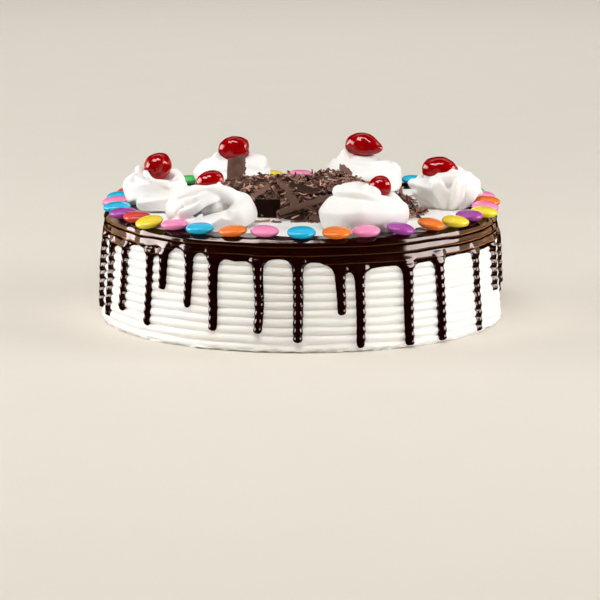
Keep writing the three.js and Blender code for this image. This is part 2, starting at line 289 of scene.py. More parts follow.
underside = coat[:1] * (0.97, 0.97, 0)
points, walls, caps = closed_tube(np.concatenate([underside, coat]))
cream = make_piece("combed_cream", points, walls, caps)
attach(cream, "root")
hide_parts("cream_cake")
print(cream.name, "has", len(cream.data.polygons), "faces")

# %% [markdown]
# ## The chocolate glaze
# Warm glaze is poured round the rim. It covers a ring of the top, hangs a centimetre down the
# side, and runs on in drips with round tips.
#
# Modelling each drip by hand would take long and leave seams. Here the glaze's outline is a
# distance field on the unrolled surface: a band joined to rounded strokes by a soft maximum,
# which makes the arches between the drips by itself. The distance to the outline also gives
# the thickness, so every edge is round.

# %% Where the drips are
glaze_points = node_points("chocolate_glaze")
bearing_of = np.round(np.degrees(np.arctan2(glaze_points[:, 0], -glaze_points[:, 1])) % 360, 2)
columns = np.unique(bearing_of)
ends = np.array([glaze_points[bearing_of == column, 2].min() for column in columns])
before, after = np.roll(ends, 1), np.roll(ends, -1)
is_tip = (ends < before) & (ends < after)
is_arch = (ends > before) & (ends > after)
tips = np.column_stack([np.radians(columns[is_tip]), ends[is_tip]])
arches = np.column_stack([np.radians(columns[is_arch]), ends[is_arch]])
print(len(tips), "drips and", len(arches), "arches between them")


# %% The glaze's outline as a distance field
INNER_EDGE = 85.0  # the run at which the glaze starts
EDGE_WANDER = 1.6
DRIP_RADIUS = 2.3
SLIM_DRIPS = (math.radians(305), 0.35, 0.22)  # bearing, spread and how much slimmer they are
ARCH_SOFTNESS = 5.0
FAR = 200.0  # a depth beyond any on the cake


def apart(angle, middle):
    """The signed angle from the middle to an angle."""
    return (angle - middle + math.pi) % TAU - math.pi


def soft_max(one, other, softness):
    """The larger of two distances, rounded where they are alike."""
    mix = np.clip(0.5 + 0.5 * (one - other) / softness, 0, 1)
    return other + (one - other) * mix + softness * mix * (1 - mix)


def height_of(run):
    """Height of a run on the side."""
    return HEIGHT - (run - TOP_RUN - RIM_RUN) - RIM_ROUND


def glaze_depths(angle, run):
    """Distances inside the glaze's outline, inside its drips and inside its band."""
    z = height_of(run)
    edge = np.interp(angle, arches[:, 0], arches[:, 1], period=TAU)
    band = np.minimum(z - edge, FAR)
    drips = np.full(np.shape(run), -FAR)
    slim_bearing, slim_spread, slimmer = SLIM_DRIPS
    rng = np.random.default_rng(12)
    for bearing, tip in tips:
        slim = slimmer * np.exp(-((apart(bearing, slim_bearing) / slim_spread) ** 2))
        width = DRIP_RADIUS * (rng.uniform(0.9, 1.06) - slim)
        sway, phase = rng.uniform(0.1, 0.45), rng.uniform(0, TAU)
        across = apart(angle, bearing) * BASE_RADIUS + sway * np.sin(z / 6 + phase)
        # A drip is a little wider on each ridge, higher up, and most of all under the band.
        beads = 1 + 0.09 * np.cos(TAU * (z / PITCH - 0.5)) + 0.1 * blend(tip, tip + 20, z)
        beads = beads + 0.3 * np.exp(-np.clip(edge - z, 0, FAR) / 5)
        beyond = np.clip(tip + width - z, 0, None)
        drips = np.maximum(drips, width * beads - np.hypot(across, beyond))
    outline = soft_max(band, drips, ARCH_SOFTNESS)
    inner = run - INNER_EDGE - EDGE_WANDER * hills(ring_places(angle), 6, 14)
    return np.minimum(outline, inner), drips, band


in_front, over_the_rim = np.zeros(2), np.array([90.0, 100.0])
print("depths in front:", glaze_depths(in_front, over_the_rim)[0].round(1), "mm")

# %% [markdown]
# ### From the field to a skin
# The field is sampled on a fine grid, and the cells inside the outline are kept. Their outer
# corners are then pulled onto the outline along the field's slope, so the edge is smooth and
# not stepped. A second skin under the first closes the glaze.

# %% The cells inside the outline
GLAZE_COLUMNS = 860
GLAZE_STEP = 0.62  # height of a cell on the side
flat_runs = np.linspace(INNER_EDGE - 5, TOP_RUN - 1, 14)
rim_runs = TOP_RUN - 1 + np.linspace(0, RIM_RUN + 2, 16)[1:]
drop_runs = np.arange(rim_runs[-1] + GLAZE_STEP, TOP_RUN + RIM_RUN + SIDE_RUN - 0.4, GLAZE_STEP)
glaze_runs = np.concatenate([flat_runs, rim_runs, drop_runs])
glaze_angles = np.arange(GLAZE_COLUMNS) * TAU / GLAZE_COLUMNS
run, angle = np.meshgrid(glaze_runs, glaze_angles, indexing="ij")
rows, columns = run.shape
cells = grid_faces(rows, columns)
run, angle = run.ravel(), angle.ravel()

CELL = TAU / GLAZE_COLUMNS
middle_angle = angle[cells[:, 0]] + CELL / 2
middle_run = run[cells].mean(axis=1)
cells = cells[glaze_depths(middle_angle, middle_run)[0] > 0]
print(len(cells), "cells of the glaze")


# %% Pull the edge onto the outline
def border_edges(faces):
    """The edges that belong to one face alone, in that face's direction."""
    edges = np.concatenate([faces[:, [i, (i + 1) % 4]] for i in range(4)])
    ordered = np.sort(edges, axis=1)
    _, index, count = np.unique(ordered, axis=0, return_index=True, return_counts=True)
    return edges[index[count == 1]]


def skirt_faces(border, count):
    """Faces between the border of one skin and that of the next, count points further on."""
    start, stop = border.T
    return np.column_stack([stop, start, start + count, stop + count])


border = border_edges(cells)
rim_points = np.unique(border)
PULLS = 4
PROBE = 0.05  # how far away the slope is felt
LONGEST_PULL = 0.5
for _ in range(PULLS):
    at, out = angle[rim_points], run[rim_points]
    depth = glaze_depths(at, out)[0]
    slope_at = (glaze_depths(at + PROBE / BASE_RADIUS, out)[0] - depth) / PROBE
    slope_out = (glaze_depths(at, out + PROBE)[0] - depth) / PROBE
    pull = np.clip(-depth, -LONGEST_PULL, LONGEST_PULL) / np.maximum(slope_at**2 + slope_out**2, 0.2)
    angle[rim_points] = at + pull * slope_at / BASE_RADIUS
    run[rim_points] = out + pull * slope_out
miss = abs(glaze_depths(angle[rim_points], run[rim_points])[0])
print("edge points are within", miss.max().round(2), "mm of the outline")

# %% The two skins of the glaze
BAND_THICKNESS = 0.95
DRIP_THICKNESS = 2.1
SUNK = 0.5  # how far the inner skin lies in the cream
used = np.unique(cells)
index = np.full(rows * columns, -1)
index[used] = np.arange(len(used))
cells, border = index[cells], index[border]
angle, run = angle[used], run[used]

depth, drip_depth, band_depth = glaze_depths(angle, run)
on_drip = blend(-2.2, 1.0, drip_depth) * blend(6, -1, band_depth)
thickness = BAND_THICKNESS + (DRIP_THICKNESS - BAND_THICKNESS) * on_drip
roundness = 1.1 + 1.2 * on_drip
share = np.clip(depth / roundness, 0, 1)
lift = thickness * np.sqrt(1 - (1 - share) ** 2)
ridges = 0.55 - 0.30 * on_drip
pool = 0.22 * hills(ring_places(angle), 7, 15)  # where the glaze lies thicker or thinner
outer = on_cake(angle, run, lift * (1 + pool) - 0.12, ridges, 1 - on_drip)
inner = on_cake(angle, run, -SUNK)

count = len(used)
skins = np.concatenate([outer, inner])
faces = [cells[:, ::-1], cells + count, skirt_faces(border, count)]
glaze = make_piece("dripping_glaze", skins, *faces)

# %% Where the glaze is thin, with a painted highlight on the crests
# The glaze is thinnest over the crests of the ridges, and a warm line is painted there, most of all at the
# sides: partly the thin glaze, partly a painted highlight where the side lights catch the crests.
z = height_of(run)
# painted highlight: stronger at the sides, where the side boxes reflect in the crests
sheen_at_sides = 0.15 + 0.85 * blend(0.62, 0.85, np.abs(np.sin(angle)))
thinness = (1 - on_drip) * sheen_at_sides * blend(HEIGHT, HEIGHT - 3, z)
for name, values in (("ridges", ridge_count(angle, z)), ("thinness", thinness)):
    attribute = glaze.data.attributes.new(name, "FLOAT", "POINT")
    attribute.data.foreach_set("value", np.tile(values, 2))
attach(glaze, "root")
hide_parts("chocolate_glaze")
print(glaze.name, "has", len(glaze.data.polygons), "faces")

# %% [markdown]
# ## The candies
# A sugar-coated chocolate button is a lens with a rounded edge. A flattened sphere comes close,
# but its edge is too thin, so each candy is turned from an outline that is fuller there. It is
# slightly uneven, because sugar shells never are perfect. The plain solid gives its place, and
# the direction in which its points spread least gives its axis, so every candy keeps its tilt.

# %% One candy
CANDY_COLUMNS, CANDY_ROWS = 48, 22
CANDY_RADIUS = 6.85
CANDY_HALF_HEIGHT = 2.5


def candy_points(seed):
    """Rings of points for one candy, lying flat at the origin."""
    rise = np.linspace(-0.485, 0.485, CANDY_ROWS)[:, None] * math.pi
    turn = np.arange(CANDY_COLUMNS)[None, :] * TAU / CANDY_COLUMNS
    reach = CANDY_RADIUS * np.cos(rise) ** 0.82 * np.ones_like(turn)
    z = CANDY_HALF_HEIGHT * np.sin(rise) * np.ones_like(turn)
    rings = np.stack([reach * np.cos(turn), reach * np.sin(turn), z], axis=-1)
    uneven = 1 + 0.012 * hills(rings, 4.5, seed)
    return rings * uneven[..., None]


def axes_of(points):
    """Centre of a solid's points, and its three directions from the longest to the shortest."""
    centre = (points.min(axis=0) + points.max(axis=0)) / 2
    spread = np.linalg.eigh(np.cov((points - points.mean(axis=0)).T))[1][:, ::-1]
    if spread[2, 2] < 0:
        spread[:, 2] *= -1
    spread[:, 1] = np.cross(spread[:, 2], spread[:, 0])
    return centre, spread


# %% The ring of candies
SETTLED = 0.55  # the candies sank into the soft glaze
candies = []
for number, node in enumerate(name for name in nodes if name.startswith("candy")):
    centre, turned = axes_of(node_points(node))
    rings = candy_points(100 + number) @ turned.T + centre - (0, 0, SETTLED)
    candy = make_piece("sugar_" + node, *closed_tube(rings))
    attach(candy, "root")
    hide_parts(node)
    "candy_" + node.split("_")[-1]
    candies.append(candy)
print(len(candies), "candies round the rim")

# %% [markdown]
# ## The cherries
# A glazed cherry is a soft ball, drawn out towards one end and pulled in at the other, where its
# stone was pushed out. Syrup has shrunk it unevenly, so no highlight on it is a clean shape. One
# sphere copied six times would look like beads. So each is a sphere bent by a formula: the plain
# solid's points give its middle and size, and a small table says which way it points.

# %% One cherry
CHERRY_COLUMNS, CHERRY_ROWS = 60, 44
# Bearing from +X and dip below level of the drawn-out end, and how pointed it is.
CHERRY_TIPS = [
    (200, 10, 0.1),
    (340, 7, 0.0),
    (330, -6, 0.36),
    (175, 5, 0.12),
    (290, 55, 0.3),
    (190, 5, 0.05),
]


def cherry_shape(points, bearing, dip):
    """Middle, directions and half sizes of a cherry, from a solid's points."""
    middle = (points.min(axis=0) + points.max(axis=0)) / 2
    turn, fall = math.radians(bearing), math.radians(dip)
    along = np.array([math.cos(turn), math.sin(turn), 0])
    side = np.array([-math.sin(turn), math.cos(turn), 0])
    tip = along * math.cos(fall) - (0, 0, math.sin(fall))
    turned = np.column_stack([tip, side, np.cross(tip, side)])
    across = np.ptp(points[:, 2]) / 2
    return middle, turned, np.array([np.ptp(points @ along) / 2, across, across])


def cherry_points(turned, half, pointed, seed):
    """Rings of points for one cherry around the origin."""
    rise = np.linspace(-0.49, 0.49, CHERRY_ROWS)[:, None] * math.pi
    turn = np.arange(CHERRY_COLUMNS)[None, :] * TAU / CHERRY_COLUMNS
    x = np.sin(rise) * np.ones_like(turn)
    reach = np.cos(rise) ** np.where(x < 0, 0.84, 0.95) * (1 - pointed * np.clip(x, 0, 1) ** 1.5)
    ball = np.stack([x, reach * np.cos(turn), reach * np.sin(turn)], axis=-1)
    pit = 1 - 0.2 * np.exp(-(((x + 1) / 0.07) ** 1.2))  # a dimple where the stone came out
    ball[..., 2] -= 1.1 * pointed * np.clip(x, 0, 1) ** 2  # the drawn-out end hangs a little
    uneven = 1 + 0.03 * hills(ball * 10, 7, seed) + 0.008 * hills(ball * 10, 2.5, seed + 1)
    return (ball * (pit * uneven)[..., None] * half) @ turned.T


# %% The six cherries
cherries, cherry_bodies = [], []
cherry_nodes = [name for name in nodes if name.startswith("cherry")]
for number, (node, (bearing, dip, pointed)) in enumerate(zip(cherry_nodes, CHERRY_TIPS)):
    middle, turned, half = cherry_shape(node_points(node), bearing, dip)
    rings = cherry_points(turned, half, pointed, 200 + 2 * number) + middle
    cherry = make_piece("glazed_" + node, *closed_tube(rings))
    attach(cherry, "root")
    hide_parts(node)
    cherries.append(cherry)
    cherry_bodies.append((middle, turned, half))
print(len(cherries), "cherries")

# %% [markdown]
# ## The rosettes
# A rosette is cream from a star nozzle, laid in turns that climb inwards and end in a wisp where
# the nozzle was pulled away. Each was piped by hand, so no two are alike. A sculpted mesh would
# look right but could not be read or changed.
#
# Here each rosette is a few strokes. A stroke is a smooth path through a handful of places with
# a thickness at each, swept with a star-shaped section. A voxel remesh melts the strokes into
# one skin and leaves soft folds where they meet.


# %% A smooth path through a few places
def smooth_path(keys, samples):
    """A curve through keys of x, y, z and thickness, passing each smoothly (Catmull-Rom)."""
    keys = np.asarray(keys, dtype=float)
    padded = np.vstack([2 * keys[0] - keys[1], keys, 2 * keys[-1] - keys[-2]])
    travelled = np.linspace(0, len(keys) - 1 - 1e-9, samples)
    piece = travelled.astype(int)
    part = (travelled - piece)[:, None]  # how far along its piece of the path each sample is
    last, here, ahead, beyond = padded[piece], padded[piece + 1], padded[piece + 2], padded[piece + 3]
    curve = 2 * here + (ahead - last) * part
    curve = curve + (2 * last - 5 * here + 4 * ahead - beyond) * part**2
    return 0.5 * (curve + (3 * here - last - 3 * ahead + beyond) * part**3)


# %% A rope of cream along a path
ROPE_SAMPLES, ROPE_COLUMNS = 110, 56
THINNEST = 0.2
END_TURNS = np.array([0.12, 0.35, 0.6, 0.85]) * math.pi / 2  # the rings that round off each end


def unit(vectors):
    """Vectors scaled to a length of one."""
    return vectors / np.linalg.norm(vectors, axis=-1, keepdims=True)


def rope(keys, lobes, lobe_depth, twist):
    """Points and faces of a rope of cream with round ends."""
    curve = smooth_path(keys, ROPE_SAMPLES)
    path, radius = curve[:, :3], np.maximum(curve[:, 3], THINNEST)
    ahead = unit(np.gradient(path, axis=0))
    beside = np.empty_like(path)
    side = np.cross(ahead[0], (0.1, 0.3, 1.0))
    for step, forward in enumerate(ahead):  # the side direction is carried along without turning
        side = unit(side - forward * (side @ forward))
        beside[step] = side
    above = np.cross(beside, ahead)

    closing, opening = END_TURNS[::-1], END_TURNS
    first = path[0] - (np.cos(opening) * radius[0])[:, None] * ahead[0]
    last = path[-1] + (np.cos(closing) * radius[-1])[:, None] * ahead[-1]
    path = np.concatenate([first, path, last])
    radius = np.concatenate([radius[0] * np.sin(opening), radius, radius[-1] * np.sin(closing)])
    beside, above = (np.pad(way, ((len(END_TURNS),) * 2, (0, 0)), "edge") for way in (beside, above))

    turn = np.arange(ROPE_COLUMNS) * TAU / ROPE_COLUMNS
    travelled = np.linspace(0, 1, len(path))[:, None]
    valley = np.abs(np.sin(lobes * (turn - TAU * twist * travelled) / 2))
    reach = radius[:, None] * (1 + lobe_depth * (0.5 - valley))
    across = np.cos(turn)[:, None] * beside[:, None] + np.sin(turn)[:, None] * above[:, None]
    return closed_tube(path[:, None] + reach[..., None] * across)


# %% The strokes of the six rosettes
# Each place is x to the right, y to the back and z up from the cake's top, in millimetres from
# the rosette's middle, and the fourth number is the rope's radius there. After the places come
# the star's number of lobes, their depth, and how many turns the star twists on the way.
BED = HEIGHT + 0.1
STROKES = {
    "rosette_1": [
        ([(-14.5, -4, 6.5, 8), (-7, -10, 6.5, 8.5), (3, -11, 6.5, 8.8), (12, -7, 6.5, 8), (13, 2, 7.5, 7.5),
          (8, 9, 8, 7.5), (-4, 10, 8, 7.5), (-13, 5, 7.5, 7.7), (-14, -2, 8, 7.8), (-6, -7, 8.5, 8),
          (4, -7, 8, 8)], 5, 0.08, 0.15),
        ([(-13, -1, 18.2, 3.1), (-9, -6, 17.8, 3.3), (-2, -8, 17, 3.4), (5, -8, 14.5, 3.6),
          (12, -5, 12.5, 4)], 4, 0.1, 0.1),
        ([(-9, 3, 18, 3.5), (-2, 6, 18, 3.8), (6, 9, 15, 4.2), (13, 4, 12.4, 4.4),
          (15, -3, 9.5, 5)], 4, 0.1, 0.1),
        ([(-8, -1, 18, 3.4), (4, -1, 16.5, 4)], 3, 0, 0),
        ([(0.5, -4, 19.4, 1.8), (1, -3, 21.4, 1)], 3, 0, 0),
        ([(4, -12, 4, 5), (10, -15, 2, 3.2), (13, -15, 0.5, 2.4)], 4, 0.3, 0.1),
    ],
    "rosette_2": [
        ([(5, 0, -3, 4.5), (5, 0, 1, 4.5), (4, 1, 7, 7.5), (3, 1, 12, 11)], 6, 0.2, 0.1),
        ([(3, -3, 1, 3.6), (-2, -6, 7, 4.6), (-9, -6, 11.5, 4.2), (-14, -2, 13, 2.2)], 4, 0.3, 0.1),
        ([(1, -2, 1, 3.4), (-6, -3, 5, 3.6), (-11.5, -5, 9, 2.6)], 4, 0.3, 0.1),
        ([(4, -4, 1, 4), (2, -9, 7, 4.6), (-1, -9.5, 13, 4)], 4, 0.3, 0.1),
        ([(5, -4, 1, 4), (7, -9.5, 7, 4.4), (9, -9.5, 13.5, 4)], 4, 0.3, 0.1),
        ([(6, -3, 1, 3.6), (13, -6, 6, 4.6), (17, -4, 9.5, 3.6), (20.5, -1, 8, 1.6)], 4, 0.3, 0.1),
        ([(7, 0, 1, 3.6), (14, 2, 6, 4.6), (17, 3, 11.5, 4)], 4, 0.3, 0.1),
        ([(-3, -6, 14, 3.2), (2, -8, 15.8, 3.4), (8, -7.5, 16.2, 3.6), (13, -2, 15, 3.8)], 4, 0.2, 0.1),
        ([(13, 2, 13, 3.6), (16, 1, 14.2, 2.6)], 4, 0.2, 0.1),
        ([(-8, 5, 11, 5), (-2, 9, 12, 5.5), (6, 10, 13, 5.5), (13, 6, 13, 5)], 4, 0.3, 0.1),
    ],
    "rosette_3": [
        ([(-12, -7, 5, 6.5), (0, -12, 5.5, 7.5), (12, -6, 6, 7.5), (12, 6, 7, 7.5), (0, 10, 7.5, 8),
          (-12, 5, 8, 7.5), (-11, -5, 9, 7), (0, -8, 9, 7), (9, -2, 9.5, 6.5)], 5, 0.16, 0.15),
        ([(-10, -1, 14, 4.6), (-9.6, -1, 17.5, 3.4), (-9.8, -1, 20, 1.9)], 3, 0.1, 0),
        ([(-2, 0, 12, 6.5), (3, 0, 12.5, 6.5)], 3, 0, 0),
        ([(15, 0, 8, 5), (15.5, 0, 11, 3.2)], 3, 0, 0),
        ([(-4, -8, 13.5, 3.4), (3, -8, 14, 3.4), (9, -5, 13, 3.4)], 4, 0.15, 0.1),
    ],
    "rosette_4": [
        ([(-12, -7, 5, 7), (0, -12, 5.5, 7.5), (12, -6, 6, 7.5), (12, 6, 7, 7.5), (0, 10, 7.5, 8),
          (-12, 5, 8, 8), (-10, -5, 9, 7), (0, -8, 9.5, 7)], 5, 0.16, 0.15),
        ([(4, 3, 11, 7), (11, 1, 12.5, 7.2), (11, -4, 11, 7)], 4, 0.12, 0.1),
        ([(-10, -3, 12, 4), (-8.8, -3, 16, 3), (-8.2, -3, 19, 1.4)], 3, 0, 0),
    ],
    "rosette_5": [
        ([(-9, -11, 4, 4), (0, -13, 4, 4.8), (9, -10, 4.5, 5.2), (11, -1, 5.5, 5.2), (7, 9, 6, 6),
          (-6, 9, 6.5, 6.4), (-13, 1, 7.5, 6.2), (-9, -7, 9, 5.4), (0, -9, 9.5, 5),
          (7, -4, 10.5, 4.6), (7, 4, 12, 4.4), (0, 9, 13, 5), (-8, 6, 14, 4.6), (-10, -1, 12.5, 4.4),
          (-4, -6, 11, 4)], 5, 0.22, 0.35),
        ([(6, -3, 11, 4), (8, 3, 13.5, 3.8), (5, 8, 15.5, 3.8)], 4, 0.15, 0.1),
        ([(-9, 4, 15, 4), (-11, 3, 18, 2.8), (-11.8, 3, 19.4, 2)], 4, 0.2, 0.1),
        ([(-8, -6, 19, 1.8), (-7, -8.5, 17.2, 2), (-3.5, -10, 14.6, 2), (3, -10.5, 13.2, 2.4)], 3, 0.2, 0),
        ([(-14, 0, 8, 5), (-16, 0, 12, 3.6), (-14, 2, 15, 3)], 4, 0.25, 0.1),
    ],
    "rosette_6": [
        ([(-20, -8, 2.5, 2.8), (-10, -14, 3, 3.6), (2, -14.5, 4, 4.8), (11, -9, 6, 6.3), (13, 1, 8, 7),
          (8, 7, 10.5, 6.2), (0, 7, 13, 6)], 4, 0.14, 0.15),
        ([(-17, 0, 8, 8), (-12, 1, 11.5, 7.5), (-5, 1, 12.5, 6.4), (-2, -3, 10, 6)], 4, 0.1, 0.1),
        ([(-15, -2, 14, 5), (-10, -6, 17.8, 3.4), (-4, -8, 18.6, 3), (1, -7, 18.4, 3), (5, -4, 16, 4),
          (9, 0, 12.5, 5)], 4, 0.1, 0.1),
        ([(2, -3, 15, 4), (1.8, -5.5, 19.3, 2.2), (1.7, -6, 21.6, 0.9)], 3, 0.2, 0),
        ([(1.5, -7, 19, 1.5), (-4, -10, 16.5, 2.2), (-9, -12, 14.8, 2.4), (-14, -10, 13, 3)], 3, 0.3, 0),
        ([(0.5, -8, 15.5, 1.8), (-5, -12, 13.8, 1.9), (-10, -14, 11, 2.2), (-16, -12, 7.5, 3)], 3, 0.3, 0),
    ],
}

# Hollows between the folds: middle, half sizes, and a tilt that lifts the right end.
HOLLOWS = {
    "rosette_1": [((-3, -24, 16), (8, 6, 3), 5)],
    "rosette_6": [((-4, -24, 8.6), (15, 9.5, 5.2), 12), ((5, -21.5, 11.5), (7, 8.5, 4.6), -50)],
}


# %% Melting strokes into one skin
VOXEL = 0.5
SOFTENINGS = 4


def melt(piece):
    """Joins overlapping parts of a piece into one smooth skin."""
    remesh = piece.modifiers.new("melt", "REMESH")
    remesh.mode = "VOXEL"
    remesh.voxel_size = VOXEL * MM
    soften = piece.modifiers.new("soften", "SMOOTH")
    soften.factor = 0.5
    soften.iterations = SOFTENINGS
    graph = bpy.context.evaluated_depsgraph_get()
    finished = bpy.data.meshes.new_from_object(piece.evaluated_get(graph))
    piece.modifiers.clear()
    piece.data = finished
    piece.data.shade_smooth()


def make_room(points, centre, turned, half, gap, source):
    """Pushes points out of a ball, away from the place on its skin that faces the source."""
    local = (points - centre) @ turned / (half + gap)
    start = unit(turned.T @ np.array(source, float) / half)
    ray = local - start
    length = np.maximum((ray**2).sum(axis=1, keepdims=True), 1e-9)
    pushed = start - 2 * ray * (ray @ start)[:, None] / length
    inside = np.linalg.norm(local, axis=1, keepdims=True) < 1
    return (np.where(inside, pushed, local) * (half + gap)) @ turned.T + centre


# %% Lay and melt the strokes
MOUND = ([(2, 0, -4, 9), (1, 0, 4, 9.5), (0, 0, 8, 6)], 1, 0, 0)  # fills the middle of a rosette
FOLDED = "rosette_2"  # its folds fill its middle, so it has no mound


def rosette_skin(node, centre):
    """The strokes of one rosette, joined at its place on the cake."""
    point_lists, face_lists, offset = [], [], 0
    filling = [] if node == FOLDED else [MOUND]
    for stroke in STROKES[node] + filling:
        points, walls, caps = rope(*stroke)
        point_lists.append(points + centre)
        face_lists += [walls + offset, caps + offset]
        offset += len(points)
    return make_piece("piped_" + node, np.concatenate(point_lists), *face_lists)


# Each rosette's middle is given by its bearing and its distance from the cake's middle.
ROSETTE_SEATS = [(27, 68.5), (91, 70), (152, 69.5), (211, 69.5), (270, 70), (323, 68.5)]
ROSETTE_MIDDLES = [polar(math.radians(bearing), distance) for bearing, distance in ROSETTE_SEATS]
print("rosettes stand at", [(round(x), round(y)) for x, y in ROSETTE_MIDDLES])

# %% The six rosettes
HAND_SHAKE = 0.3  # how far the piped folds stray
CHERRY_GAP = 0.15
rosettes = []
for number, (node, middle) in enumerate(zip(STROKES, ROSETTE_MIDDLES)):
    rosette = rosette_skin(node, (middle[0], middle[1], BED))
    melt(rosette)
    skin = mesh_points(rosette)
    for place, half, tilt in HOLLOWS.get(node, ()):
        place = np.add(place, (middle[0], middle[1], BED))
        level, lifted = math.cos(math.radians(tilt)), math.sin(math.radians(tilt))
        turned = np.array([[level, 0, -lifted], [0, 1, 0], [lifted, 0, level]])
        skin = make_room(skin, place, turned, np.array(half), 0, (0, -1, 0))
    shake = [hills(skin, 6, 300 + 3 * number + axis) for axis in range(3)]
    skin += HAND_SHAKE * np.stack(shake, axis=-1)
    skin = make_room(skin, *cherry_bodies[number], CHERRY_GAP, (0, 0, 1))
    skin[:, 2] = np.maximum(skin[:, 2], BED - 0.4)
    rosette.data.vertices.foreach_set("co", (skin * MM).ravel())
    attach(rosette, "root")
    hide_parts(node)
    rosettes.append(rosette)
rosette_faces = [len(rosette.data.polygons) for rosette in rosettes]
print(len(rosettes), "rosettes with", sum(rosette_faces), "faces")

# %% [markdown]
# ## The heap of shavings
# Shavings come off a block of chocolate as thin flakes that curl as they are cut. This heap is
# some two thousand curled strips over a core painted nearly black, a painted shade for the gaps
# between them. A bumpy mound would be cheaper, but it has neither the gaps nor the thin bright
# edges that make a heap look loose; here those edges are a painted highlight.
#
# Each strip is a small closed body, a grid bent round a cylinder with ragged sides. Its shade
# goes into a face attribute, because some show the block's dull face and some the paler cut.
# Painted shade darkens the strips that lie low in the heap, those in random dim patches and
# those beside the roll.

# %% The heap's outline
HEAP_RADIUS = 44
HEAP_HEIGHT = 13.2
HEAP_PEAK = (149, 36, 4, 10)  # bearing, distance from the middle, height and spread
# Where it reaches further or less far: bearing, how much, and spread.
HEAP_BULGES = [(92, 13, 22), (125, 9, 12), (152, 5, 14), (238, 7, 22), (335, -10, 14)]
HEAP_BANK = (240, 40, 3)  # bearing, spread and how much steeper the heap is there


def reach_at(bearing):
    """How far the heap goes out at a bearing in radians, with its spills and a hollow."""
    reach = HEAP_RADIUS + 1.5 * np.sin(5 * bearing)
    for middle, more, spread in HEAP_BULGES:
        away = np.degrees(apart(bearing, math.radians(middle)))
        reach = reach + more * np.exp(-((away / spread) ** 2))
    return reach


def heap_rise(x, y):
    """Height of the heap's surface over the cream's top, steeper at the back and the left."""
    bearing = np.arctan2(x, -y)
    share = np.hypot(x, y) / (reach_at(bearing) - 0.5)
    bank_bearing, spread, steeper = HEAP_BANK
    bank = np.exp(-((np.degrees(apart(bearing, math.radians(bank_bearing))) / spread) ** 2))
    steepness = 3.6 - np.cos(bearing) + steeper * bank
    rise = HEAP_HEIGHT * np.clip(1 - share**steepness, 0, 1) ** 0.8
    peak_bearing, distance, height, spread = HEAP_PEAK
    peak_x, peak_y = polar(math.radians(peak_bearing), distance)
    away = np.hypot(x - peak_x, y - peak_y)
    return rise + height * np.exp(-((away / spread) ** 2)) * (share < 1)


around = np.arange(0, 360, 45)
print("reach every 45 degrees:", reach_at(np.radians(around)).round(1), "mm")


# %% A thin sheet with thickness
def turning(x=0.0, y=0.0, z=0.0):
    """A turn round X, then Y, then Z, in degrees, as a matrix."""
    return np.array(Euler([math.radians(angle) for angle in (x, y, z)]).to_matrix())


def sheet(outer, inner):
    """Points, faces and which faces are the rim, of a sheet between two grids of points."""
    rows, columns = outer.shape[:2]
    cells = grid_faces(rows, columns, closed=False)
    count = rows * columns
    rim = skirt_faces(border_edges(cells), count)
    points = np.concatenate([outer.reshape(-1, 3), inner.reshape(-1, 3)])
    faces = np.concatenate([cells, cells[:, ::-1] + count, rim])
    return points, faces, np.arange(len(faces)) >= 2 * len(cells)


# %% One curled flake
def flake(rng, length, width, curl, thick=0.38):
    """A flake at the origin, bent along its length round a radius of curl millimetres."""
    rows, columns = (8, 4) if width > 0.8 else (6, 2)
    steps, lanes = np.linspace(-0.5, 0.5, rows), np.linspace(-0.5, 0.5, columns)
    along, across = np.meshgrid(steps, lanes, indexing="ij")
    ragged = 1 + rng.uniform(-0.3, 0.3, along.shape)
    taper = 1 - rng.uniform(0.1, 0.8) * np.abs(2 * along) ** 2
    bend = length * along / curl
    y = width * across * taper * ragged + rng.uniform(-0.25, 0.25) * length * along**2
    radius = curl + thick * np.array([-0.5, 0.5])[:, None, None]
    radius = radius + rng.uniform(-0.2, 0.2, along.shape)
    twist = rng.uniform(-0.5, 0.5) * y * along
    z = curl - radius * np.cos(bend) + twist
    layers = np.stack([radius * np.sin(bend), np.stack([y, y]), z], axis=-1)
    return sheet(layers[0], layers[1]) if curl > 0 else sheet(layers[1], layers[0])


# %% The heap's core, painted dark as the shade in its gaps
CORE_DEPTH = 2.8  # how far the core lies under the heap's surface
CORE_COLUMNS = 120
CORE_SHARES = (1.0, 0.97, 0.93, 0.88, 0.8, 0.66, 0.5, 0.3, 0.1)  # of the way out, for each ring
core_turn = np.arange(CORE_COLUMNS) * TAU / CORE_COLUMNS
core_rings = []
for share in CORE_SHARES:
    reach = share * (reach_at(core_turn) - 2.5)
    x, y = reach * np.sin(core_turn), -reach * np.cos(core_turn)
    rise = np.maximum(heap_rise(x, y) - CORE_DEPTH, 0) * (share < 1)
    uneven = 1 + 0.12 * hills(np.column_stack([x, y]), 4, 41)
    core_rings.append(np.column_stack([x, y, BED + rise * uneven]))
core_points, core_walls, core_caps = closed_tube(np.stack(core_rings))
print("the heap's core is", round(core_points[:, 2].max() - BED, 1), "mm high")

# %% Places that stay clear
# Lines from one place to another, and how far the loose flakes keep away: the rosettes, the
# roll, the upright curl and the dark hollow in front of the slab.
CLEAR = [
    ((-12, -42), (16, -28.5), 2.6),
    ((-23, -37), (-11, -38), 5.5),
    ((-38, 25.5), (-29, 25.5), 1.2),
]
ROSETTE_GAPS = (20, 12, 20, 20, 20, 20)
for middle, gap in zip(ROSETTE_MIDDLES, ROSETTE_GAPS):
    CLEAR.append((middle, middle, gap))


def is_clear(x, y):
    """Whether a flake may lie at a place."""
    for start, stop, gap in CLEAR:
        way = np.subtract(stop, start)
        share = np.clip((np.array([x, y]) - start) @ way / max(way @ way, 1e-9), 0, 1)
        if math.dist((x, y), np.add(start, share * way)) < gap:
            return False
    return True


print(len(CLEAR), "places stay clear of loose flakes")


